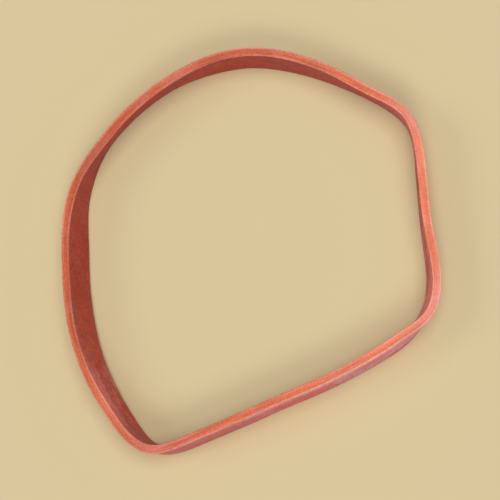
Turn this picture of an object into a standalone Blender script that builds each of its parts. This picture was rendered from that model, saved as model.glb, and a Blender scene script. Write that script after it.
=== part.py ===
"""Rubber band: a wide, flat ring of red natural rubber, at rest on one of its cut edges.

A band like this is a slice cut across a vulcanised rubber tube. The tube's wall gives the band
its thickness, the slice gives its width, and both edges are flat knife cuts. Put down loosely,
a band this wide stands on its lower cut edge in a rounded, three-cornered loop, and its wall
leans a little out or in from place to place.

Metres, +Z up. The origin is on the surface that the band stands on, under the middle of its box.
"""

import math

import bmesh
import bpy
import numpy as np

MM = 0.001

# The band itself, in metres
LOOP_LENGTH = 203.2 * MM      # once round the middle of the wall, twice the band's flat length
BAND_WIDTH = 6.35 * MM        # from one cut edge to the other
WALL_THICKNESS = 1.5 * MM     # wall of the tube it was cut from
ARRIS = 0.12 * MM             # blunting of the four knife-cut corners

# Where the middle of the wall stands, going round clockwise from the left side as seen from above.
# Each row: x and y in mm, how far the wall's top leans outwards in degrees, and the height of its
# lower edge above the surface in mm. The front stretch is upright and touches all along.
# Only the shape of this line counts: the loop is then set to its own length.
STANDING_POINTS = [
    (-30.3, 0.5, 19.0, 0.0),      # left side, leaning well out
    (-29.5, 11.6, 4.0, 0.0),
    (-23.9, 21.8, -14.0, 0.3),    # back left, leaning in
    (-14.7, 29.5, -12.0, 0.4),
    (-3.0, 33.8, 0.0, 0.0),       # back of the loop
    (7.1, 32.8, 2.0, 0.0),
    (21.0, 26.1, -6.0, 0.3),
    (27.1, 20.9, 0.0, 0.4),       # back right corner
    (28.8, 13.9, 5.0, 0.2),
    (29.9, 0.6, 9.0, 0.0),
    (29.5, -11.3, 15.0, 0.0),     # front right corner
    (24.3, -16.5, 0.0, 0.0),
    (5.6, -25.7, 0.0, 0.0),       # middle of the front stretch
    (-8.5, -31.4, 0.0, 0.0),
    (-16.3, -32.9, 6.0, 0.0),     # front left corner, the tightest bend
    (-21.8, -27.7, 16.0, 0.3),
    (-27.9, -15.5, 20.0, 0.3),
]

# How finely the loop is faceted
STATION_SPACING = 1.0 * MM    # from one cross-section to the next along the wall
CURVE_STEPS = 40              # steps between two standing points when the line is measured
SHARP_ANGLE = math.radians(30)    # corners of the section that stay crisp when shaded

# Finish
RED_RUBBER = (0.62, 0.17, 0.10, 1.0)
RUBBER_ROUGHNESS = 0.72


def clear_scene():
    for old in list(bpy.data.objects):
        bpy.data.objects.remove(old, do_unlink=True)


def springy_slopes(points, chords):
    """Slopes that carry a springy strip through the points with its bend changing smoothly."""
    count = len(points)
    system = np.zeros((count, count))
    right_side = np.zeros_like(points)
    for i in range(count):
        after = (i + 1) % count
        chord_in = chords[i - 1]
        chord_out = chords[i]
        system[i, i - 1] += chord_out
        system[i, i] += 2 * (chord_in + chord_out)
        system[i, after] += chord_in
        step_out = (points[after] - points[i]) * chord_in / chord_out
        step_in = (points[i] - points[i - 1]) * chord_out / chord_in
        right_side[i] = 3 * (step_out + step_in)
    return np.linalg.solve(system, right_side)


def level_slopes(values, chords):
    """Slopes that never overshoot a value, so that two equal ones stay level all the way between."""
    rise_out = (np.roll(values, -1, axis=0) - values) / chords[:, None]
    rise_in = np.roll(rise_out, 1, axis=0)
    same_way = rise_in * rise_out > 0
    total = np.where(same_way, rise_in + rise_out, 1.0)
    return np.where(same_way, 2 * rise_in * rise_out / total, 0.0)


def wall_curve():
    """Plan position, lean and lift in many short steps round the loop, before it is set to length."""
    rows = np.array(STANDING_POINTS) * (MM, MM, math.radians(1), MM)
    chords = np.linalg.norm((np.roll(rows, -1, axis=0) - rows)[:, :2], axis=1)
    slopes = np.hstack([springy_slopes(rows[:, :2], chords), level_slopes(rows[:, 2:], chords)])
    curve = []
    for i, chord in enumerate(chords):
        after = (i + 1) % len(rows)
        for step in range(CURVE_STEPS):
            t = step / CURVE_STEPS
            leaving = (1 + 2 * t) * (1 - t) ** 2 * rows[i] + t * (1 - t) ** 2 * chord * slopes[i]
            arriving = t * t * (3 - 2 * t) * rows[after] - t * t * (1 - t) * chord * slopes[after]
            curve.append(leaving + arriving)
    return np.array(curve)


def wall_stations():
    """Evenly spaced stations round a loop of the band's real length: plan position, lean and lift."""
    curve = wall_curve()
    closed = np.vstack([curve, curve[:1]])
    steps = np.linalg.norm(np.diff(closed[:, :2], axis=0), axis=1)
    walked = np.concatenate([[0.0], np.cumsum(steps)])
    to_length = LOOP_LENGTH / walked[-1]
    closed[:, :2] *= to_length

    count = round(LOOP_LENGTH / STATION_SPACING)
    at = np.linspace(0.0, LOOP_LENGTH, count, endpoint=False)
    stations = np.column_stack([np.interp(at, walked * to_length, column) for column in closed.T])
    return stations[:, :2], stations[:, 2], stations[:, 3]


def outward_normals(plan):
    """Horizontal unit vectors square to the wall, pointing out of the loop."""
    along = np.roll(plan, -1, axis=0) - np.roll(plan, 1, axis=0)
    along /= np.linalg.norm(along, axis=1)[:, None]
    after = np.roll(plan, -1, axis=0)
    turning = np.sum(plan[:, 0] * after[:, 1] - plan[:, 1] * after[:, 0])
    return np.column_stack([along[:, 1], -along[:, 0]]) * math.copysign(1.0, turning)


def cut_section():
    """The band's cross-section as (through the wall, across the width): a strip with blunted arrises."""
    half_wall = WALL_THICKNESS / 2
    half_width = BAND_WIDTH / 2
    corners = [(-1, -1), (1, -1), (1, 1), (-1, 1)]
    section = []
    for side, edge in corners:
        on_edge = (side * (half_wall - ARRIS), edge * half_width)
        on_face = (side * half_wall, edge * (half_width - ARRIS))
        section += [on_face, on_edge] if side == edge else [on_edge, on_face]
    return section


def section_ring(section, middle, out, lean, lift):
    """One cross-section, leant over and set down so that its lowest corner is at the given height."""
    reaches = [through * math.cos(lean) + across * math.sin(lean) for through, across in section]
    heights = [across * math.cos(lean) - through * math.sin(lean) for through, across in section]
    lowest = min(heights)
    ring = []
    for reach, height in zip(reaches, heights):
        ring.append((middle[0] + out[0] * reach, middle[1] + out[1] * reach, lift + height - lowest))
    return ring


def centred(rings):
    """The rings moved so that the origin lies under the middle of their box."""
    corners = np.array(rings)
    low = corners.min(axis=(0, 1))
    high = corners.max(axis=(0, 1))
    corners[:, :, :2] -= (low[:2] + high[:2]) / 2
    return corners


def band_mesh():
    """Sweeps the cross-section round the standing loop into one closed ring."""
    plan, lean, lift = wall_stations()
    outward = outward_normals(plan)
    section = cut_section()
    rings = [section_ring(section, *station) for station in zip(plan, outward, lean, lift)]

    shape = bmesh.new()
    loops = [[shape.verts.new(corner) for corner in ring] for ring in centred(rings)]
    sides = len(section)
    for i, loop in enumerate(loops):
        before = loops[i - 1]
        for k in range(sides):
            following = (k + 1) % sides
            shape.faces.new((before[k], before[following], loop[following], loop[k]))
    bmesh.ops.recalc_face_normals(shape, faces=shape.faces)
    mesh = bpy.data.meshes.new("rubber_band")
    shape.to_mesh(mesh)
    shape.free()
    return mesh


def red_rubber():
    """Red natural rubber: matt, and a little dusty from the talc that keeps bands from sticking."""
    material = bpy.data.materials.new("red_rubber")
    material.use_nodes = True
    surface = material.node_tree.nodes["Principled BSDF"]
    surface.inputs["Base Color"].default_value = RED_RUBBER
    surface.inputs["Roughness"].default_value = RUBBER_ROUGHNESS
    surface.inputs["Metallic"].default_value = 0.0
    return material


def make_band():
    mesh = band_mesh()
    mesh.materials.append(red_rubber())
    mesh.shade_smooth()
    mesh.set_sharp_from_angle(angle=SHARP_ANGLE)
    band = bpy.data.objects.new("rubber_band", mesh)
    bpy.context.scene.collection.objects.link(band)
    return band


clear_scene()
make_band()
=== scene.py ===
# %% [markdown]
# # A rubber band, dressed on its frame
# A wide rubber band is a slice of red rubber tube. Loose on a table it stands on its cut edge in
# an uneven loop. The frame holds that loop as a plain solid. This file gives it the fine form of
# real rubber (a dished knife cut, faces with the tube's own marks, the way a thick strip flares
# where it bends) and its finish (pigment, talc, pale corners). Then it sets the floor, the light
# and the camera.

import math

import bpy
import numpy as np
from mathutils import Matrix, Vector
from mathutils.bvhtree import BVHTree


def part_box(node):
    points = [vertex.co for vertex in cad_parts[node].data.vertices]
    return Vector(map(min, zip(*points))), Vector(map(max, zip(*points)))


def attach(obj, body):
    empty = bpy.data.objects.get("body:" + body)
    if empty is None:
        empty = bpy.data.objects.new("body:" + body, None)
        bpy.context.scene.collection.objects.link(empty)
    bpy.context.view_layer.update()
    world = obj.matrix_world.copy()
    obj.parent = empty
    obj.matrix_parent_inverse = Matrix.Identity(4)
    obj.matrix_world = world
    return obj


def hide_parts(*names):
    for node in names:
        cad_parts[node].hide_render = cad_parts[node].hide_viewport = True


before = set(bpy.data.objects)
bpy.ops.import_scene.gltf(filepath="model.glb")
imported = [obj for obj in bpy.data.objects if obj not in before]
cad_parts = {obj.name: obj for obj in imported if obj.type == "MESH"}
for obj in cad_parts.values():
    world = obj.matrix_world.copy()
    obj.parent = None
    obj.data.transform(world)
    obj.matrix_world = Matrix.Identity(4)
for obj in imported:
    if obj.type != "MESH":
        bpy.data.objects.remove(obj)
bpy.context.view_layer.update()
MM = 0.001
frame_low, frame_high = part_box("rubber_band")
print("frame, mm:", [round((high - low) / MM, 2) for low, high in zip(frame_low, frame_high)])

# %% [markdown]
# ## The band's sizes
# A band has few sizes: how far it is round, how wide the slice is, and how thick the tube's wall
# was. They are the frame's own, in millimetres. The knife leaves four crisp corners, which wear
# to a radius of about a tenth of a millimetre.

# %% Sizes of the band, in mm
LOOP_LENGTH = 203.2
BAND_WIDTH = 6.35
WALL_THICKNESS = 1.5
CORNER_RADIUS = 0.12
half_wall = WALL_THICKNESS / 2
half_width = BAND_WIDTH / 2
print("flat length, mm:", LOOP_LENGTH / 2, "width:", BAND_WIDTH, "wall:", WALL_THICKNESS)

# %% [markdown]
# ## The line that the wall stands on
# The frame's solid is faceted too coarsely to carry fine marks, so the wall is swept again, finely,
# along the same line. The line is the frame's: the middle of the wall in plan, in mm, the lean of
# its top outwards in degrees, and how far the lower edge is off the floor in mm. A springy strip
# bends as little as it can, and a cubic spline whose bend changes smoothly does the same.

# %% The standing line
STANDING_POINTS = np.array([
    (-30.3, 0.5, 19.0, 0.0),
    (-29.5, 11.6, 4.0, 0.0),
    (-23.9, 21.8, -14.0, 0.3),
    (-14.7, 29.5, -12.0, 0.4),
    (-3.0, 33.8, 0.0, 0.0),
    (7.1, 32.8, 2.0, 0.0),
    (21.0, 26.1, -6.0, 0.3),
    (27.1, 20.9, 0.0, 0.4),
    (28.8, 13.9, 5.0, 0.2),
    (29.9, 0.6, 9.0, 0.0),
    (29.5, -11.3, 15.0, 0.0),
    (24.3, -16.5, 0.0, 0.0),
    (5.6, -25.7, 0.0, 0.0),
    (-8.5, -31.4, 0.0, 0.0),
    (-16.3, -32.9, 6.0, 0.0),
    (-21.8, -27.7, 16.0, 0.3),
    (-27.9, -15.5, 20.0, 0.3),
])
STEPS_BETWEEN_POINTS = 80


def springy_slopes(points, chords):
    """Slopes that carry a springy strip through the points with its bend changing smoothly."""
    count = len(points)
    system = np.zeros((count, count))
    right_side = np.zeros_like(points)
    for i in range(count):
        after = (i + 1) % count
        system[i, i - 1] += chords[i]
        system[i, i] += 2 * (chords[i - 1] + chords[i])
        system[i, after] += chords[i - 1]
        step_out = (points[after] - points[i]) * chords[i - 1] / chords[i]
        step_in = (points[i] - points[i - 1]) * chords[i] / chords[i - 1]
        right_side[i] = 3 * (step_out + step_in)
    return np.linalg.solve(system, right_side)


def level_slopes(values, chords):
    """Slopes that never overshoot a value, so that two equal ones stay level all the way between."""
    rise_out = (np.roll(values, -1, axis=0) - values) / chords[:, None]
    rise_in = np.roll(rise_out, 1, axis=0)
    same_way = rise_in * rise_out > 0
    total = np.where(same_way, rise_in + rise_out, 1.0)
    return np.where(same_way, 2 * rise_in * rise_out / total, 0.0)


def standing_line():
    """The closed line in many short steps: x, y, lean and lift."""
    rows = STANDING_POINTS
    chords = np.linalg.norm((np.roll(rows, -1, axis=0) - rows)[:, :2], axis=1)
    slopes = np.hstack([springy_slopes(rows[:, :2], chords), level_slopes(rows[:, 2:], chords)])
    steps = []
    for i, chord in enumerate(chords):
        after = (i + 1) % len(rows)
        for t in np.arange(STEPS_BETWEEN_POINTS) / STEPS_BETWEEN_POINTS:
            leaving = (1 + 2 * t) * (1 - t) ** 2 * rows[i] + t * (1 - t) ** 2 * chord * slopes[i]
            arriving = t * t * (3 - 2 * t) * rows[after] - t * t * (1 - t) * chord * slopes[after]
            steps.append(leaving + arriving)
    return np.array(steps)


line = standing_line()
print("standing line:", len(line), "steps")

# %% [markdown]
# ## Stations round the loop
# Cross-sections are set at even steps along the line, close enough to draw a mould mark. At each
# one we need the direction out of the loop, and how sharply the band bends there.

# %% Stations
STATION_COUNT = 1120
SMOOTHED_OVER = 1.6


def even_stations(line):
    """The line set to the band's length and read at even steps."""
    closed = np.vstack([line, line[:1]])
    walked = np.append(0.0, np.cumsum(np.linalg.norm(np.diff(closed[:, :2], axis=0), axis=1)))
    closed[:, :2] *= LOOP_LENGTH / walked[-1]
    walked *= LOOP_LENGTH / walked[-1]
    return np.column_stack([np.interp(along, walked, column) for column in closed.T])


def smoothed(values, length):
    """A closed run of values, each averaged with its neighbours over a length in mm."""
    reach = round(length / station_step)
    return sum(np.roll(values, k) for k in range(-reach, reach + 1)) / (2 * reach + 1)


station_step = LOOP_LENGTH / STATION_COUNT
along = np.arange(STATION_COUNT) * station_step
stations = even_stations(line)
plan = stations[:, :2]
lean = np.radians(stations[:, 2])
lift = stations[:, 3]
heading = np.roll(plan, -1, axis=0) - np.roll(plan, 1, axis=0)
heading /= np.linalg.norm(heading, axis=1)[:, None]
outward = np.column_stack([-heading[:, 1], heading[:, 0]])
turning = np.roll(heading, -1, axis=0) - np.roll(heading, 1, axis=0)
bend = smoothed(-np.sum(turning * outward, axis=1) / (2 * station_step), SMOOTHED_OVER)
print("stations:", STATION_COUNT, "every", round(station_step, 3), "mm")
print("tightest bend radius, mm:", round(1 / bend.max(), 1))

# %% [markdown]
# ## The cross-section
# The section is the strip's own: two moulded faces, two knife cuts and four worn corners. Its
# points are close together where the form turns, at the corners, and further apart on the faces.
# `through` runs through the wall, out of the loop, and `across` runs over the width, upwards.

# %% Section
FACE_STEPS = 30
CUT_STEPS = 8
CORNER_STEPS = 3


def section_outline():
    """The outline of the strip, anticlockwise, as through and across in mm."""
    side = half_wall - CORNER_RADIUS
    edge = half_width - CORNER_RADIUS
    corners = [(side, edge, 0), (-side, edge, 90), (-side, -edge, 180), (side, -edge, 270)]
    arcs = []
    for centre_through, centre_across, first in corners:
        angles = np.radians(np.linspace(first, first + 90, CORNER_STEPS + 1))
        arc_through = centre_through + CORNER_RADIUS * np.cos(angles)
        arc_across = centre_across + CORNER_RADIUS * np.sin(angles)
        arcs.append(np.column_stack([arc_through, arc_across]))
    outline = []
    for arc, following, steps in zip(arcs, arcs[1:] + arcs[:1], [CUT_STEPS, FACE_STEPS] * 2):
        shares = (np.arange(1, steps) / steps)[:, None]
        outline += [arc, arc[-1] + (following[0] - arc[-1]) * shares]
    return np.vstack(outline)


through, across = section_outline().T
outer_share = np.clip(through / half_wall, 0, 1)
inner_share = np.clip(-through / half_wall, 0, 1)
cut_share = np.clip((np.abs(across) - half_width + CORNER_RADIUS) / CORNER_RADIUS, 0, 1)
print("section points:", len(through))

# %% [markdown]
# ## A random wave that closes
# Nothing on a band is quite even, and whatever varies round it has to meet itself where it began.
# A sum of sine waves that each fit a whole number of times round the loop does that. The seed
# makes it the same wave on every run.

# %% Ring noise
WAVE_COUNT = 36


def ring_noise(at, longest, shortest, seed):
    """A smooth random wave from -1 to 1, closed round the loop, with wavelengths in mm."""
    dice = np.random.default_rng(seed)
    fewest = round(LOOP_LENGTH / longest)
    most = round(LOOP_LENGTH / shortest)
    cycles = dice.integers(fewest, most, WAVE_COUNT, endpoint=True)
    phases = dice.uniform(0, 2 * math.pi, WAVE_COUNT)
    angle = 2 * math.pi * at / LOOP_LENGTH
    total = sum(np.sin(n * angle + phase) for n, phase in zip(cycles, phases))
    return total / np.abs(total).max()


once_round = np.array([0.0, LOOP_LENGTH])
begun_and_closed = ring_noise(once_round, longest=45.0, shortest=14.0, seed=3)
print("ring noise where it begins and once round:", begun_and_closed.round(3).tolist())

# %% [markdown]
# ## The faces, as the tube was made
# The tube was pushed through a die round a core. The core never sits quite in the middle, so the
# wall is a little thicker on one side of the loop. Scratches in the die leave fine lines along
# the tube, which on the slice run straight across the width. Grit and air leave shallow pits and
# pimples. And a strip of rubber is never quite taut: over a few centimetres it sways and twists by
# a tenth of a millimetre. All of it moves the face in or out, so it is one number for each point:
# how far outwards, in mm.

# %% Form of the faces, in mm, with the thickest place in radians round the loop
UNEVEN_WALL = 0.05
THICKEST_AT = 0.8
WALL_WAVE = 0.1
DIE_LINE = 0.02
PIMPLE_COUNT = 110
PIMPLE_RADIUS = (0.25, 0.7)
PIMPLE_HEIGHT = 0.035
PIMPLES_REACH = 0.85


def die_lines():
    """Fine ridges straight across the width, a different set on each face."""
    outer = ring_noise(along, longest=6.0, shortest=0.9, seed=21)[:, None] * outer_share
    inner = ring_noise(along, longest=6.0, shortest=0.9, seed=22)[:, None] * inner_share
    return DIE_LINE * (outer - inner)


def pimples():
    """Shallow pits and pimples scattered over both faces."""
    dice = np.random.default_rng(31)
    marks = np.zeros((STATION_COUNT, len(through)))
    for _ in range(PIMPLE_COUNT):
        side = dice.choice((-1, 1))
        away_along = (along - dice.uniform(0, LOOP_LENGTH)) % LOOP_LENGTH
        away_along = np.minimum(away_along, LOOP_LENGTH - away_along)
        away_across = across - dice.uniform(-PIMPLES_REACH, PIMPLES_REACH) * half_width
        radius = dice.uniform(*PIMPLE_RADIUS)
        bump = np.exp(-(away_along[:, None] ** 2 + away_across**2) / radius**2)
        marks += PIMPLE_HEIGHT * dice.uniform(-1, 1) * bump * np.clip(side * through / half_wall, 0, 1)
    return marks


def face_form():
    """How far outwards each point moves from the plain section."""
    uneven = UNEVEN_WALL * np.cos(2 * math.pi * along / LOOP_LENGTH - THICKEST_AT)[:, None] * through
    sway = ring_noise(along, longest=45.0, shortest=14.0, seed=3)[:, None]
    twist = ring_noise(along, longest=40.0, shortest=11.0, seed=5)[:, None] * across / half_width
    return uneven + WALL_WAVE * (sway + twist) / 2 + die_lines() + pimples()


face_shift = face_form()
print("faces move, mm:", round(face_shift.min(), 3), "to", round(face_shift.max(), 3))

# %% [markdown]
# ## The cuts, as the knife left them
# Rubber gives way under a blade and springs back, so a cut is dished, it slants a little, its
# line wanders, and the blade's shudder leaves fine slanting ripples. This is one number for each
# point again: how far up or down, in mm.

# %% Form of the cuts, in mm
CUT_DISH = 0.06
CUT_SLANT = 0.05
CUT_WANDER = 0.08
CUT_RIPPLE = 0.014
RIPPLE_SLANT = 1.2


def cut_form():
    """How far each point moves across the width: both cuts wander inwards, never out."""
    moved = np.zeros((STATION_COUNT, len(through)))
    for side, seed in ((1, 41), (-1, 51)):
        here = np.clip(side * across / half_width, 0, 1)
        wander = (ring_noise(along, longest=40.0, shortest=7.0, seed=seed)[:, None] - 1) / 2
        slant = ring_noise(along, longest=70.0, shortest=15.0, seed=seed + 1)[:, None] * through / half_wall
        dish = (through / half_wall) ** 2 - 1
        slanting = along[:, None] + RIPPLE_SLANT * through
        ripple = ring_noise(slanting, longest=1.7, shortest=0.8, seed=seed + 2)
        on_cut = CUT_SLANT * slant + CUT_DISH * dish + CUT_RIPPLE * ripple
        moved += side * here * (CUT_WANDER * wander + cut_share * on_cut)
    return moved


cut_shift = cut_form()
print("cuts move, mm:", round(cut_shift.min(), 3), "to", round(cut_shift.max(), 3))

# %% [markdown]
# ## What a bend does to a thick strip
# Bend a rubber eraser and its sides flare: the squeezed inside grows wider, the stretched outside
# grows narrower, and the section curls the other way, like a saddle. Poisson's ratio, one half
# for rubber, says how much. A strip this wide holds about half of it back. Straight stretches are
# left alone, because the amount follows the bend.

# %% Saddle form at the bends
POISSON_RATIO = 0.5
SHARE_LEFT_BY_WIDTH = 0.55
curl = POISSON_RATIO * SHARE_LEFT_BY_WIDTH * bend[:, None]
bend_shift_through = curl * (across**2 - half_width**2 / 3) / 2
bend_shift_across = -curl * through * across
print("flare at the tightest bend, mm:", round(bend_shift_through.max(), 3))

# %% [markdown]
# ## Sweep the wall
# Each section leans with the wall and is set down on its lowest corner, as in the frame, and
# neighbouring sections are joined by four-sided faces into one closed ring. What would reach
# under the floor is pressed flat on it, as rubber is. The ring is then moved so that its box is
# centred on the frame's.

# %% Sweep
def swept_places(through_mm, across_mm):
    """Places in mm of every section point at every station."""
    cosine = np.cos(lean)[:, None]
    sine = np.sin(lean)[:, None]
    lowest = (across * cosine - through * sine).min(axis=1)[:, None]
    reach = through_mm * cosine + across_mm * sine
    height = across_mm * cosine - through_mm * sine + lift[:, None] - lowest
    x = plan[:, :1] + outward[:, :1] * reach
    y = plan[:, 1:] + outward[:, 1:] * reach
    return np.stack([x, y, np.maximum(height, 0.0)], axis=-1)


def ring_faces(station_count, point_count):
    """Four-sided faces that join each section to the next, all round, facing out."""
    first = np.arange(station_count)[:, None] * point_count
    following = np.roll(first, -1, axis=0)
    here = np.arange(point_count)[None, :]
    beside = np.roll(here, -1, axis=1)
    corners = [first + here, first + beside, following + beside, following + here]
    return np.stack(corners, axis=-1).reshape(-1, 4)


places = swept_places(through + face_shift + bend_shift_through, across + cut_shift + bend_shift_across)
middle = (places.min(axis=(0, 1)) + places.max(axis=(0, 1)))[:2] / 2
frame_middle = np.array((frame_low + frame_high)[:2]) / 2 / MM
places[:, :, :2] += frame_middle - middle

wall_mesh = bpy.data.meshes.new("rubber_band_wall")
wall_mesh.from_pydata((places.reshape(-1, 3) * MM).tolist(), [], ring_faces(*places.shape[:2]).tolist())
wall_mesh.update()
wall_mesh.shade_smooth()
wall = bpy.data.objects.new("rubber_band_wall", wall_mesh)
bpy.context.scene.collection.objects.link(wall)
print("wall:", len(wall_mesh.vertices), "points,", 2 * len(wall_mesh.polygons), "triangles")

# %% [markdown]
# ## Check it against the frame
# The dressed wall has to be the frame's wall. This measures how far its points lie from the
# frame's solid, on every twenty-ninth point.

# %% Distance from the frame
MEASURED_EVERY = 29
depsgraph = bpy.context.evaluated_depsgraph_get()
solid = BVHTree.FromObject(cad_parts["rubber_band"], depsgraph)
measured = places.reshape(-1, 3)[::MEASURED_EVERY]
gaps = [solid.find_nearest(Vector(place) * MM)[3] / MM for place in measured]
print("from the frame, mm: mean", round(float(np.mean(gaps)), 3), "most", round(max(gaps), 3))

# %% [markdown]
# ## Where on the band each point is
# Grain, pigment and talc belong to the rubber, not to the room. So every point also keeps its
# place in the band as it was cut, a true round ring, in mm. Patterns drawn there follow the band
# round its bends and have no seam. Six more numbers say what kind of surface a point is on: its
# side of the wall, whether a knife cut it, how near a corner it is (the pale line of wear and
# painted highlight reaches a quarter of a millimetre), how sharply the band bends there (a radius
# of 9 mm or less counts as tight), how far the shade has drifted, which it does over a few
# centimetres as rubber is mixed, and how strong a pale patch is inside the loop by its front left
# corner, where settled talc and painted light make the inner wall paler.

# %% Attributes for the finish
CORNER_REACH = 0.24
TIGHT_BEND_RADIUS = 9.0
# A paler, pinker patch on the inner wall by the front left corner: settled talc's colour with painted
# light.
SETTLED_AND_LIT_AT = 0.87
SETTLED_AND_LIT_REACH = 7.5
everywhere = np.ones((STATION_COUNT, len(through)))


def keep(name, values):
    """Stores a number or a vector for every point of the wall."""
    is_vector = values.ndim == 3
    attribute = wall_mesh.attributes.new(name, "FLOAT_VECTOR" if is_vector else "FLOAT", "POINT")
    attribute.data.foreach_set("vector" if is_vector else "value", values.astype(np.float32).ravel())


round_angle = 2 * math.pi * along[:, None] / LOOP_LENGTH
ring_radius = LOOP_LENGTH / (2 * math.pi) + through
ring_place = [np.cos(round_angle) * ring_radius, np.sin(round_angle) * ring_radius, across * everywhere]
from_corner = np.hypot(half_wall - np.abs(through), half_width - np.abs(across))
from_settled_and_lit = ((along / LOOP_LENGTH - SETTLED_AND_LIT_AT + 0.5) % 1 - 0.5) * LOOP_LENGTH
settled_and_lit_here = np.exp(-((from_settled_and_lit / SETTLED_AND_LIT_REACH) ** 2))[:, None]
keep("place_in_ring", np.stack(ring_place, axis=-1))
keep("side_of_wall", through / half_wall * everywhere)
keep("knife_cut", cut_share * everywhere)
keep("corner", np.exp(-((from_corner / CORNER_REACH) ** 2)) * everywhere)
keep("bend", np.clip(bend * TIGHT_BEND_RADIUS, 0, 1)[:, None] * everywhere)
keep("drift", ring_noise(along, longest=70.0, shortest=20.0, seed=61)[:, None] * everywhere)
keep("settled_talc_and_light", settled_and_lit_here * ((1 - through / half_wall) / 2) ** 2)
print("kept for the finish: place_in_ring, side_of_wall, knife_cut, corner, bend, drift, settled")

# %% [markdown]
# ## Colours
# Colours are picked as they look on a screen, in hex, and the shader wants them as light, so one
# function turns one into the other. The rubber is vulcanised natural rubber coloured with red
# iron oxide. A knife cut shows it clean and orange. The moulded faces have a skin, a shade
# duller, and the talc and bloom on them turn it to a dusty pink. The floor's card is sand, and
# the light that comes off it is grey.

# %% Colours
OUTER_SKIN = "#e56a58"
# Inside the loop the skin is darker partly as painted shade.
SHADED_INNER_SKIN = "#c24a2b"
DEEP_RED = "#7a2616"
# The clean core and rim are darker with painted shade, and the dusty ones paler with painted light as well
# as dust.
SHADED_CLEAN_CORE = "#bf5838"
LIT_DUSTY_CORE = "#ee7e59"
SHADED_CLEAN_RIM = "#cd7052"
LIT_DUSTY_RIM = "#ffae9c"
TALC = "#f4b0ad"
# Rubbed-in talc inside the loop is darker partly as painted shade.
SHADED_RUBBED_IN_TALC = "#f28a78"
# The thin brown film of the clean side is darker partly as painted shade.
SHADED_THIN_FILM = "#a5584b"
# The worn corner's pale colour is partly wear and partly a painted highlight.
WORN_CORNER_AND_HIGHLIGHT = "#e79c88"
SAND_CARD = "#d9c89d"
BOUNCE_GREY = "#b9b4b6"


def as_light(hex_colour):
    """An sRGB hex colour as linear red, green, blue and alpha, by the standard's own numbers."""
    parts = [int(hex_colour[i:i + 2], 16) / 255 for i in (1, 3, 5)]
    linear = [part / 12.92 if part <= 0.04045 else ((part + 0.055) / 1.055) ** 2.4 for part in parts]
    return (*linear, 1.0)


print("outer skin as light:", [round(part, 3) for part in as_light(OUTER_SKIN)[:3]])

# %% [markdown]
# ## One function for nodes
# A material is a chain of nodes. This adds one node, sets it up and joins it, whatever its kind:
# each input is given a value, or the output of another node. Inputs go by name, or by number where
# a node has several of one name. A Mix node mixes by its input 0: inputs 2 and 3 if they are
# numbers, and inputs 6 and 7 if they are colours.

# %% Add a node
def add_node(tree, kind, settings, inputs):
    """Adds a node with its settings; each input gets a value or another node's output."""
    node = tree.nodes.new("ShaderNode" + kind)
    for name, value in settings.items():
        setattr(node, name, value)
    for name, value in inputs.items():
        if isinstance(value, bpy.types.NodeSocket):
            tree.links.new(value, node.inputs[name])
        else:
            node.inputs[name].default_value = value
    return node


# %% [markdown]
# ## Start the rubber
# The material is talc-dusted, knife-cut natural rubber. Its IOR is about 1.52. Powder and bloom
# break up its surface, so that it reflects about half of what a smooth piece would (the shader's
# full reflection is at 0.5), and give it a faint sheen at glancing angles. These values are the
# same all over, so they are set on the shader itself. The nodes read the numbers kept on the wall.

# %% Rubber material and what it reads
RUBBER_IOR = 1.52
DUSTY_REFLECTION = 0.25
DUST_SHEEN = 0.05
DUST_SHEEN_ROUGHNESS = 0.5
rubber = bpy.data.materials.new("talc_dusted_red_rubber")
rubber.use_nodes = True
tree = rubber.node_tree
surface = tree.nodes["Principled BSDF"]
surface.inputs["IOR"].default_value = RUBBER_IOR
surface.inputs["Specular IOR Level"].default_value = DUSTY_REFLECTION
surface.inputs["Sheen Weight"].default_value = DUST_SHEEN
surface.inputs["Sheen Roughness"].default_value = DUST_SHEEN_ROUGHNESS
surface.inputs["Sheen Tint"].default_value = as_light(TALC)
place = add_node(tree, "Attribute", {"attribute_name": "place_in_ring"}, {}).outputs["Vector"]
side_of_wall = add_node(tree, "Attribute", {"attribute_name": "side_of_wall"}, {}).outputs["Fac"]
knife_cut = add_node(tree, "Attribute", {"attribute_name": "knife_cut"}, {}).outputs["Fac"]
corner = add_node(tree, "Attribute", {"attribute_name": "corner"}, {}).outputs["Fac"]
bent = add_node(tree, "Attribute", {"attribute_name": "bend"}, {}).outputs["Fac"]
drift = add_node(tree, "Attribute", {"attribute_name": "drift"}, {}).outputs["Fac"]
settled_talc_and_light = add_node(tree, "Attribute", {"attribute_name": "settled_talc_and_light"}, {}).outputs["Fac"]
wall_mesh.materials.append(rubber)
print("nodes that read the wall:", len([node for node in tree.nodes if node.type == "ATTRIBUTE"]))

# %% [markdown]
# ## Patterns, in millimetres
# Five noises carry most of the finish. Grain is pigment and filler, under half a millimetre.
# Mottle is how they clump, at about one millimetre. Cloud is the slow change of shade from one
# centimetre to the next. Streaks lie across the width, because the die's lines and the cracks in
# the bloom run that way. Knife lines run along the cut, about a centimetre long and three or four
# side by side in the wall. On the real thing grain and knife lines are a tenth of a millimetre or
# less, and here they are drawn coarser, because at that size the camera couldn't tell them from a
# flat colour. A pattern is stretched by dividing its place by a different size each way. Detail is
# how many finer layers a noise has, and Roughness how strongly they show.

# %% Noises
GRAIN_SIZE = 0.4
MOTTLE_SIZE = 1.1
CLOUD_SIZE = 6.0
STREAK_SIZE = (0.45, 0.45, 9.0)
KNIFE_LINE_LENGTH = (10.0, 10.0, 10.0)
KNIFE_LINES_IN_HALF_WALL = 1.6


def per_mm(sizes):
    """What to multiply a place by, so that a noise has one feature in each of these sizes."""
    return tuple(1 / size for size in sizes)


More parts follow.
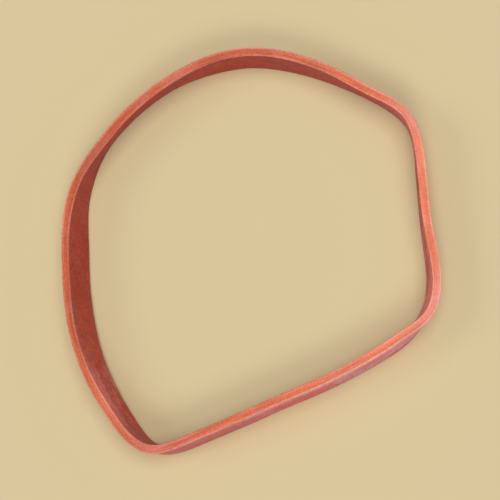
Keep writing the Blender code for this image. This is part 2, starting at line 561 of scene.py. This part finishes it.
grain = add_node(
    tree, "TexNoise", {}, {"Vector": place, "Scale": 1 / GRAIN_SIZE, "Detail": 4.0, "Roughness": 0.65}
).outputs["Fac"]
mottle = add_node(
    tree, "TexNoise", {}, {"Vector": place, "Scale": 1 / MOTTLE_SIZE, "Detail": 5.0, "Roughness": 0.7}
).outputs["Fac"]
cloud = add_node(
    tree, "TexNoise", {}, {"Vector": place, "Scale": 1 / CLOUD_SIZE, "Detail": 3.0, "Roughness": 0.6}
).outputs["Fac"]
streak_place = add_node(
    tree, "VectorMath", {"operation": "MULTIPLY"}, {0: place, 1: per_mm(STREAK_SIZE)}
).outputs["Vector"]
streaks = add_node(
    tree, "TexNoise", {}, {"Vector": streak_place, "Scale": 1.0, "Detail": 3.0, "Roughness": 0.6}
).outputs["Fac"]
depth_in_wall = add_node(
    tree, "Math", {"operation": "MULTIPLY"}, {0: side_of_wall, 1: KNIFE_LINES_IN_HALF_WALL}
).outputs["Value"]
along_cut = add_node(
    tree, "VectorMath", {"operation": "MULTIPLY"}, {0: place, 1: per_mm(KNIFE_LINE_LENGTH)}
).outputs["Vector"]
along_cut_parts = add_node(tree, "SeparateXYZ", {}, {"Vector": along_cut})
cut_place = add_node(
    tree,
    "CombineXYZ",
    {},
    {"X": along_cut_parts.outputs["X"], "Y": along_cut_parts.outputs["Y"], "Z": depth_in_wall},
).outputs["Vector"]
knife_lines = add_node(
    tree, "TexNoise", {}, {"Vector": cut_place, "Scale": 1.0, "Detail": 4.0, "Roughness": 0.7}
).outputs["Fac"]
print("noise sizes, mm: grain", GRAIN_SIZE, "mottle", MOTTLE_SIZE, "cloud", CLOUD_SIZE)

# %% [markdown]
# ## Skin
# The skin is deeper inside the loop, where the core was and as painted shade, and cloud makes it deeper
# here and there.
# A noise runs from nought to one but seldom leaves its middle, so each use of one says from what
# level its pattern starts to show, and at what level it is full. The skin changes from outer to
# inner between half way out and half way in through the wall.

# %% Skin colour
HALF_WAY = 0.5
CLOUD_STARTS = 0.45
CLOUD_FULL = 0.75
DEEPEST_CLOUD = 0.3
is_inner = add_node(
    tree, "MapRange", {}, {"Value": side_of_wall, "From Min": HALF_WAY, "From Max": -HALF_WAY}
).outputs["Result"]
skin = add_node(
    tree,
    "Mix",
    {"data_type": "RGBA"},
    {0: is_inner, 6: as_light(OUTER_SKIN), 7: as_light(SHADED_INNER_SKIN)},
).outputs[2]
deep_cloud = add_node(
    tree,
    "MapRange",
    {},
    {"Value": cloud, "From Min": CLOUD_STARTS, "From Max": CLOUD_FULL, "To Max": DEEPEST_CLOUD},
).outputs["Result"]
skin = add_node(
    tree, "Mix", {"data_type": "RGBA"}, {0: deep_cloud, 6: skin, 7: as_light(DEEP_RED)}
).outputs[2]
print("nodes with the skin:", len(tree.nodes))

# %% [markdown]
# ## A dusty, lit side and a clean, shaded side
# The right of the loop has kept its dust, and the left has been handled clean. The colour also
# carries painted light: the dusty side is paler with painted light, and the clean side darker with
# painted shade. A point's place in the ring, measured towards the middle of the dusty side, says how
# near it is to that side, from nought to one. The middle is given as a share of the way round, from
# the left over the back. Dust and painted light fall off faster than nearness does, so they are
# nearness to a power, and a higher one inside the loop, where the dust is rubbed in. The patch by
# the front left corner, settled talc with painted light, is added to both.

# %% Dusty side, with painted light and shade
BRIGHT_DUSTY_MIDDLE = 0.53
DUST_AND_LIGHT_FADES = 2.0
INNER_DUST_AND_LIGHT_FADES = 4.0
SETTLED_DUST_AND_LIGHT = 0.95
ring_size = LOOP_LENGTH / (2 * math.pi)
bright_dusty_angle = 2 * math.pi * BRIGHT_DUSTY_MIDDLE
toward_bright_dust = (math.cos(bright_dusty_angle) / ring_size, math.sin(bright_dusty_angle) / ring_size, 0.0)
sideways = add_node(
    tree, "VectorMath", {"operation": "DOT_PRODUCT"}, {0: place, 1: toward_bright_dust}
).outputs["Value"]
nearness = add_node(
    tree, "MapRange", {}, {"Value": sideways, "From Min": -1.0, "From Max": 1.0}
).outputs["Result"]
# Nearness to the dusty side sets dust and also painted light: paler to the right, darker to the left.
dust_and_light_side = add_node(
    tree, "Math", {"operation": "POWER"}, {0: nearness, 1: DUST_AND_LIGHT_FADES}
).outputs["Value"]
dust_and_light_side = add_node(
    tree,
    "Math",
    {"operation": "MULTIPLY_ADD", "use_clamp": True},
    {0: settled_talc_and_light, 1: SETTLED_DUST_AND_LIGHT, 2: dust_and_light_side},
).outputs["Value"]
inner_dust_and_light = add_node(
    tree, "Math", {"operation": "POWER"}, {0: nearness, 1: INNER_DUST_AND_LIGHT_FADES}
).outputs["Value"]
inner_dust_and_light = add_node(
    tree,
    "Math",
    {"operation": "MULTIPLY_ADD", "use_clamp": True},
    {0: settled_talc_and_light, 1: SETTLED_DUST_AND_LIGHT, 2: inner_dust_and_light},
).outputs["Value"]
print("middle of the dusty side, mm round the loop:", round(BRIGHT_DUSTY_MIDDLE * LOOP_LENGTH, 1))

# %% [markdown]
# ## Talc and bloom
# Bands are dusted with talc so that they don't stick, and sulphur works out of them as a pale
# film. Together they cover the skin in patches and in streaks across the width, more on the bends
# and near the upper cut edge, where nothing rubs them off. More of it is left on the dusty side, and
# that also paints light there. Their colour depends on how thick they lie, which follows the dusty
# side: thick talc is pink outside the loop, inside it is rubbed into the red and darker with painted
# shade, and where handling has thinned it, only a warm brown film is left, darker with the painted
# shade of the clean side.

# %% Talc on the faces
PATCH_SIZE = (8.0, 8.0, 3.2)
PATCHES_START = 0.4
PATCHES_FULL = 0.72
DUST_IN_PATCHES = 0.75
EDGE_DUST_REACH = 2.6
DUST_AT_EDGE = 0.8
DUST_ON_BEND = 0.35
LEFT_ON_SHADED_CLEAN_SIDE = 0.65
LEFT_ON_LIT_DUSTY_SIDE = 1.8
STREAKS_START = 0.3
STREAKS_FULL = 0.7
DUST_BETWEEN_STREAKS = 0.6
DUST_IN_STREAKS = 1.15
THINNEST_TALC = 0.08
patch_place = add_node(
    tree, "VectorMath", {"operation": "MULTIPLY"}, {0: place, 1: per_mm(PATCH_SIZE)}
).outputs["Vector"]
patches = add_node(
    tree, "TexNoise", {}, {"Vector": patch_place, "Scale": 1.0, "Detail": 4.0, "Roughness": 0.6}
).outputs["Fac"]
patchy = add_node(
    tree,
    "MapRange",
    {},
    {
        "Value": patches,
        "From Min": PATCHES_START,
        "From Max": PATCHES_FULL,
        "To Max": DUST_IN_PATCHES,
    },
).outputs["Result"]
height_on_wall = add_node(tree, "SeparateXYZ", {}, {"Vector": place}).outputs["Z"]
near_edge = add_node(
    tree,
    "MapRange",
    {"interpolation_type": "SMOOTHSTEP"},
    {
        "Value": height_on_wall,
        "From Min": half_width - EDGE_DUST_REACH,
        "From Max": half_width,
        "To Max": DUST_AT_EDGE,
    },
).outputs["Result"]
on_bend = add_node(tree, "Math", {"operation": "MULTIPLY"}, {0: bent, 1: DUST_ON_BEND}).outputs["Value"]
dust = add_node(tree, "Math", {"operation": "ADD"}, {0: patchy, 1: near_edge}).outputs["Value"]
dust = add_node(tree, "Math", {"operation": "ADD"}, {0: dust, 1: on_bend}).outputs["Value"]
# More talc is left on the dusty side, and its paler faces there also carry painted light.
dust_and_light_left_on = add_node(
    tree,
    "MapRange",
    {},
    {"Value": dust_and_light_side, "To Min": LEFT_ON_SHADED_CLEAN_SIDE, "To Max": LEFT_ON_LIT_DUSTY_SIDE},
).outputs["Result"]
dust = add_node(tree, "Math", {"operation": "MULTIPLY"}, {0: dust, 1: dust_and_light_left_on}).outputs["Value"]
streaky = add_node(
    tree,
    "MapRange",
    {},
    {
        "Value": streaks,
        "From Min": STREAKS_START,
        "From Max": STREAKS_FULL,
        "To Min": DUST_BETWEEN_STREAKS,
        "To Max": DUST_IN_STREAKS,
    },
).outputs["Result"]
dust = add_node(
    tree, "Math", {"operation": "MULTIPLY", "use_clamp": True}, {0: dust, 1: streaky}
).outputs["Value"]
outer_talc_and_light = add_node(
    tree, "MapRange", {}, {"Value": nearness, "To Min": THINNEST_TALC, "To Max": 1.0}
).outputs["Result"]
talc_and_light_amount = add_node(
    tree, "Mix", {"data_type": "FLOAT"}, {0: is_inner, 2: outer_talc_and_light, 3: inner_dust_and_light}
).outputs[0]
thick_talc_and_inner_shade = add_node(
    tree, "Mix", {"data_type": "RGBA"}, {0: is_inner, 6: as_light(TALC), 7: as_light(SHADED_RUBBED_IN_TALC)}
).outputs[2]
dust_colour = add_node(
    tree, "Mix", {"data_type": "RGBA"}, {0: talc_and_light_amount, 6: as_light(SHADED_THIN_FILM), 7: thick_talc_and_inner_shade}
).outputs[2]
face_colour = add_node(
    tree, "Mix", {"data_type": "RGBA"}, {0: dust, 6: skin, 7: dust_colour}
).outputs[2]
print("nodes with the talc:", len(tree.nodes))

# %% [markdown]
# ## Knife cut
# The cut shows the rubber under the skin. Its core is a clean orange, down in the dish where
# nothing rubs it, and its rims are paler, the outer one most, because they pick up talc. Both are
# paler on the dusty side, with dust and painted light, and darker on the clean side with painted
# shade. Flecks, which are knife lines broken by grain, hold more dust or less. Last comes talc that
# was smeared over the cut, in patches and on the bends of the dusty side.

# %% Cut colour
GRAIN_IN_FLECKS = 0.4
FLECKS_START = 0.35
FLECKS_FULL = 0.65
FLECK_DUST = 0.25
RIM_STARTS = 0.4
RIM_FULL = 0.85
RIM_GAPS_END = 0.35
RIM_WHOLE = 0.6
RIM_IN_GAPS = 0.65
INNER_RIM_SHARE = 0.4
TALC_STARTS = 0.5
TALC_FULL = 0.7
TALC_ON_CUT = 0.16
TALC_ON_BENT_CUT = 0.33
flecks = add_node(
    tree, "Mix", {"data_type": "FLOAT"}, {0: GRAIN_IN_FLECKS, 2: knife_lines, 3: grain}
).outputs[0]
line_tone = add_node(
    tree,
    "MapRange",
    {},
    {
        "Value": flecks,
        "From Min": FLECKS_START,
        "From Max": FLECKS_FULL,
        "To Min": -FLECK_DUST,
        "To Max": FLECK_DUST,
    },
).outputs["Result"]
cut_dust_and_light = add_node(
    tree, "Math", {"operation": "ADD", "use_clamp": True}, {0: dust_and_light_side, 1: line_tone}
).outputs["Value"]
core_colour = add_node(
    tree, "Mix", {"data_type": "RGBA"}, {0: cut_dust_and_light, 6: as_light(SHADED_CLEAN_CORE), 7: as_light(LIT_DUSTY_CORE)}
).outputs[2]
rim_colour = add_node(
    tree, "Mix", {"data_type": "RGBA"}, {0: cut_dust_and_light, 6: as_light(SHADED_CLEAN_RIM), 7: as_light(LIT_DUSTY_RIM)}
).outputs[2]
from_core = add_node(tree, "Math", {"operation": "ABSOLUTE"}, {0: side_of_wall}).outputs["Value"]
rim = add_node(
    tree,
    "MapRange",
    {"interpolation_type": "SMOOTHSTEP"},
    {"Value": from_core, "From Min": RIM_STARTS, "From Max": RIM_FULL},
).outputs["Result"]
uneven_rim = add_node(
    tree,
    "MapRange",
    {},
    {"Value": mottle, "From Min": RIM_GAPS_END, "From Max": RIM_WHOLE, "To Min": RIM_IN_GAPS},
).outputs["Result"]
rim = add_node(tree, "Math", {"operation": "MULTIPLY"}, {0: rim, 1: uneven_rim}).outputs["Value"]
outer_rim_more = add_node(
    tree, "MapRange", {}, {"Value": is_inner, "To Min": 1.0, "To Max": INNER_RIM_SHARE}
).outputs["Result"]
rim = add_node(tree, "Math", {"operation": "MULTIPLY"}, {0: rim, 1: outer_rim_more}).outputs["Value"]
cut_colour = add_node(
    tree, "Mix", {"data_type": "RGBA"}, {0: rim, 6: core_colour, 7: rim_colour}
).outputs[2]
cut_talc = add_node(
    tree,
    "MapRange",
    {},
    {"Value": patches, "From Min": TALC_STARTS, "From Max": TALC_FULL, "To Max": TALC_ON_CUT},
).outputs["Result"]
bent_dust_and_light = add_node(tree, "Math", {"operation": "MULTIPLY"}, {0: bent, 1: dust_and_light_side}).outputs["Value"]
cut_talc = add_node(
    tree,
    "Math",
    {"operation": "MULTIPLY_ADD", "use_clamp": True},
    {0: bent_dust_and_light, 1: TALC_ON_BENT_CUT, 2: cut_talc},
).outputs["Value"]
cut_colour = add_node(
    tree, "Mix", {"data_type": "RGBA"}, {0: cut_talc, 6: cut_colour, 7: as_light(TALC)}
).outputs[2]
colour = add_node(
    tree, "Mix", {"data_type": "RGBA"}, {0: knife_cut, 6: face_colour, 7: cut_colour}
).outputs[2]
print("nodes with the cut:", len(tree.nodes))

# %% [markdown]
# ## Worn corners, with a painted highlight
# Rubbed corners are the palest line on the band, more so on the outside of the loop, which is
# what other things touch. The line is partly wear and partly a painted highlight, where light would
# catch the corner. Grain breaks the line up.

# %% Corner colour
LINE_BREAKS_END = 0.35
LINE_WHOLE = 0.6
LINE_IN_BREAKS = 0.1
OUTER_RUBBED_AND_HIGHLIGHT = 0.6
INNER_RUBBED_AND_HIGHLIGHT = 0.1
# The pale corner line: wear and a painted highlight.
rubbed_and_highlight = add_node(
    tree,
    "MapRange",
    {},
    {"Value": grain, "From Min": LINE_BREAKS_END, "From Max": LINE_WHOLE, "To Min": LINE_IN_BREAKS},
).outputs["Result"]
by_side = add_node(
    tree,
    "MapRange",
    {},
    {
        "Value": side_of_wall,
        "From Min": -HALF_WAY,
        "From Max": HALF_WAY,
        "To Min": INNER_RUBBED_AND_HIGHLIGHT,
        "To Max": OUTER_RUBBED_AND_HIGHLIGHT,
    },
).outputs["Result"]
rubbed_and_highlight = add_node(tree, "Math", {"operation": "MULTIPLY"}, {0: rubbed_and_highlight, 1: by_side}).outputs["Value"]
rubbed_and_highlight = add_node(tree, "Math", {"operation": "MULTIPLY"}, {0: corner, 1: rubbed_and_highlight}).outputs["Value"]
colour = add_node(
    tree, "Mix", {"data_type": "RGBA"}, {0: rubbed_and_highlight, 6: colour, 7: as_light(WORN_CORNER_AND_HIGHLIGHT)}
).outputs[2]
print("nodes with the corners:", len(tree.nodes))

# %% [markdown]
# ## Mottle
# Filler and pigment clump, so every part of a face is a little darker here and paler there, and
# the shade drifts slowly round the loop, by about a tenth. On a cut the flecks do the same.
# Multiplying the colour by a number near one does that without a change of hue.

# %% Mottled colour
CLUMPS_START = 0.7
CLUMPS_FULL = 1.3
DARKEST_MOTTLE = 0.72
PALEST_MOTTLE = 1.25
FACE_DRIFT = 0.12
DARKEST_LINE = 0.75
PALEST_LINE = 1.25
clumps = add_node(tree, "Math", {"operation": "ADD"}, {0: mottle, 1: grain}).outputs["Value"]
shade = add_node(
    tree,
    "MapRange",
    {},
    {
        "Value": clumps,
        "From Min": CLUMPS_START,
        "From Max": CLUMPS_FULL,
        "To Min": DARKEST_MOTTLE,
        "To Max": PALEST_MOTTLE,
    },
).outputs["Result"]
drifted = add_node(
    tree, "Math", {"operation": "MULTIPLY_ADD"}, {0: drift, 1: FACE_DRIFT, 2: 1.0}
).outputs["Value"]
shade = add_node(tree, "Math", {"operation": "MULTIPLY"}, {0: shade, 1: drifted}).outputs["Value"]
cut_lines = add_node(
    tree,
    "MapRange",
    {},
    {
        "Value": flecks,
        "From Min": FLECKS_START,
        "From Max": FLECKS_FULL,
        "To Min": DARKEST_LINE,
        "To Max": PALEST_LINE,
    },
).outputs["Result"]
shade = add_node(
    tree, "Mix", {"data_type": "FLOAT"}, {0: knife_cut, 2: shade, 3: cut_lines}
).outputs[0]
colour = add_node(tree, "VectorMath", {"operation": "SCALE"}, {0: colour, "Scale": shade}).outputs["Vector"]
tree.links.new(colour, surface.inputs["Base Color"])
print("nodes with the mottle:", len(tree.nodes))

# %% [markdown]
# ## Roughness and tooth
# Rubber is matt. Talc is the roughest thing here, near nine tenths, and a knife cut the smoothest,
# at about two thirds. The fine tooth of the surface is a few hundredths of a millimetre, too small
# for the mesh, so it is bump: grain and streaks on the faces, knife lines on the cuts.

# %% Roughness and bump
FACE_TOOTH = 0.045
CUT_TOOTH = 0.03
BARE_FACE_ROUGHNESS = 0.7
DUSTY_FACE_ROUGHNESS = 0.9
SMOOTH_LINE_ROUGHNESS = 0.55
TORN_LINE_ROUGHNESS = 0.75
face_roughness = add_node(
    tree,
    "MapRange",
    {},
    {"Value": dust, "To Min": BARE_FACE_ROUGHNESS, "To Max": DUSTY_FACE_ROUGHNESS},
).outputs["Result"]
cut_roughness = add_node(
    tree,
    "MapRange",
    {},
    {"Value": knife_lines, "To Min": SMOOTH_LINE_ROUGHNESS, "To Max": TORN_LINE_ROUGHNESS},
).outputs["Result"]
roughness = add_node(
    tree, "Mix", {"data_type": "FLOAT"}, {0: knife_cut, 2: face_roughness, 3: cut_roughness}
).outputs[0]
tree.links.new(roughness, surface.inputs["Roughness"])
tooth = add_node(tree, "Math", {"operation": "ADD"}, {0: grain, 1: streaks}).outputs["Value"]
face_bump = add_node(
    tree, "Bump", {}, {"Height": tooth, "Distance": FACE_TOOTH * MM, "Strength": 1.0}
).outputs["Normal"]
bump = add_node(
    tree,
    "Bump",
    {},
    {"Height": knife_lines, "Distance": CUT_TOOTH * MM, "Strength": knife_cut, "Normal": face_bump},
).outputs["Normal"]
tree.links.new(bump, surface.inputs["Normal"])
print("rubber nodes:", len(tree.nodes))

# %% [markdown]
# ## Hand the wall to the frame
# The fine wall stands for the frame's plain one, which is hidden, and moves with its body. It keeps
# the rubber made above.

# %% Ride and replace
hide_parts("rubber_band")
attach(wall, "root")
print(wall.name, "stands for the frame's rubber_band")

# %% [markdown]
# ## Floor
# A sheet of plain sand-coloured card, wide enough to reach the horizon from any side. It lies a
# hair under the band, so that the two never fight for the same place. The card is sand where the
# camera sees it, itself or mirrored in something. Light that it only throws on the band is a
# neutral grey, so that the card never tints the rubber.

# %% Floor, in metres
FLOOR_SIZE = 6.0
FLOOR_DROP = 0.00002


def seen_or_mirrored(tree):
    """One where the camera sees a thing itself or its reflection, nought where it only lights."""
    ray = add_node(tree, "LightPath", {}, {}).outputs
    seen = add_node(
        tree, "Math", {"operation": "ADD"}, {0: ray["Is Camera Ray"], 1: ray["Is Glossy Ray"]}
    ).outputs["Value"]
    return add_node(
        tree, "Math", {"operation": "ADD"}, {0: seen, 1: ray["Is Transmission Ray"]}
    ).outputs["Value"]


corner_place = FLOOR_SIZE / 2
floor_corners = [(x * corner_place, y * corner_place, 0.0) for x, y in ((-1, -1), (1, -1), (1, 1), (-1, 1))]
floor_mesh = bpy.data.meshes.new("floor_card")
floor_mesh.from_pydata(floor_corners, [], [(0, 1, 2, 3)])
floor = bpy.data.objects.new("floor_card", floor_mesh)
floor.location.z = -FLOOR_DROP
bpy.context.scene.collection.objects.link(floor)
card = bpy.data.materials.new("sand_card")
card.use_nodes = True
card_surface = card.node_tree.nodes["Principled BSDF"]
card_seen = seen_or_mirrored(card.node_tree)
card_colour = add_node(
    card.node_tree,
    "Mix",
    {"data_type": "RGBA"},
    {0: card_seen, 6: as_light(BOUNCE_GREY), 7: as_light(SAND_CARD)},
).outputs[2]
card.node_tree.links.new(card_colour, card_surface.inputs["Base Color"])
card_surface.inputs["Roughness"].default_value = 1.0
card_surface.inputs["Specular IOR Level"].default_value = 0.0
floor_mesh.materials.append(card)
print("floor:", FLOOR_SIZE, "m square")

# %% [markdown]
# ## Light
# Plain soft studio light. A broad lamp nearly straight above makes the upward cut the brightest
# part and leaves the walls darker. A weaker one from the front lights the front wall from outside
# and the back wall from inside, and the weakest, from the left, does the same for the sides. The
# room fills in the rest. Each lamp's share of the light on the floor is named, and with the
# room's the shares add up to one, so that a colour renders as it is written.

# %% Lamps and room
OVERHEAD_SHARE = 0.48
FRONT_SHARE = 0.19
LEFT_SHARE = 0.1
ROOM_SHARE = 1 - OVERHEAD_SHARE - FRONT_SHARE - LEFT_SHARE
TOWARD_OVERHEAD = (0.2, 0.0, 1.0)
TOWARD_FRONT = (0.1, -1.0, 1.0)
TOWARD_LEFT = (-1.0, 0.0, 0.8)
BROAD = 45
NARROWER = 25


def add_sun(name, direction, softness, share):
    """A far lamp that puts a share of full light on the floor; softness is its width in degrees."""
    toward = Vector(direction).normalized()
    lamp = bpy.data.lights.new(name, "SUN")
    lamp.energy = share * math.pi / toward.z
    lamp.angle = math.radians(softness)
    sun = bpy.data.objects.new(name, lamp)
    sun.rotation_euler = toward.to_track_quat("Z", "Y").to_euler()
    bpy.context.scene.collection.objects.link(sun)
    print(name, "strength", round(lamp.energy, 2))


add_sun("overhead_softbox", TOWARD_OVERHEAD, BROAD, OVERHEAD_SHARE)
add_sun("front_softbox", TOWARD_FRONT, NARROWER, FRONT_SHARE)
add_sun("left_softbox", TOWARD_LEFT, NARROWER, LEFT_SHARE)

# %% [markdown]
# The room itself is a plain even white at its share of the light. Where the camera sees it, past
# the edge of the floor or mirrored in something, it has the floor's colour.

# %% Room
scene = bpy.context.scene
scene.view_settings.view_transform = "Standard"
world = bpy.data.worlds.new("soft_room")
scene.world = world
world.use_nodes = True
room = world.node_tree
room_seen = seen_or_mirrored(room)
backdrop = add_node(room, "Background", {}, {"Color": as_light(SAND_CARD), "Strength": 1.0}).outputs[0]
white = add_node(room, "Background", {}, {"Color": (1, 1, 1, 1), "Strength": ROOM_SHARE}).outputs[0]
mixed = add_node(room, "MixShader", {}, {0: room_seen, 1: white, 2: backdrop}).outputs[0]
room.links.new(mixed, room.nodes["World Output"].inputs["Surface"])
print("room's share of the light:", round(ROOM_SHARE, 2))

# %% [markdown]
# ## Camera
# The band is seen from 28 cm, from high above and a little to the right of the front. The lens is
# long enough that the loop fills the square frame. The camera's up is the table's far side.

# %% Camera
CAMERA_DISTANCE = 0.28
CAMERA_ELEVATION = math.radians(74)
CAMERA_TO_THE_RIGHT = math.radians(36)
LENS = 120
level = math.cos(CAMERA_ELEVATION)
back = Vector((
    math.sin(CAMERA_TO_THE_RIGHT) * level,
    -math.cos(CAMERA_TO_THE_RIGHT) * level,
    math.sin(CAMERA_ELEVATION),
))
right = Vector((0, 1, 0)).cross(back).normalized()
up = back.cross(right)
aim = Vector((*(frame_middle - middle), half_width)) * MM
lens = bpy.data.cameras.new("camera")
lens.lens = LENS
camera = bpy.data.objects.new("camera", lens)
turned = Matrix((right, up, back)).transposed().to_4x4()
camera.matrix_world = Matrix.Translation(aim + back * CAMERA_DISTANCE) @ turned
scene.collection.objects.link(camera)
scene.camera = camera
print("camera at, mm:", [round(part / MM, 1) for part in camera.location])
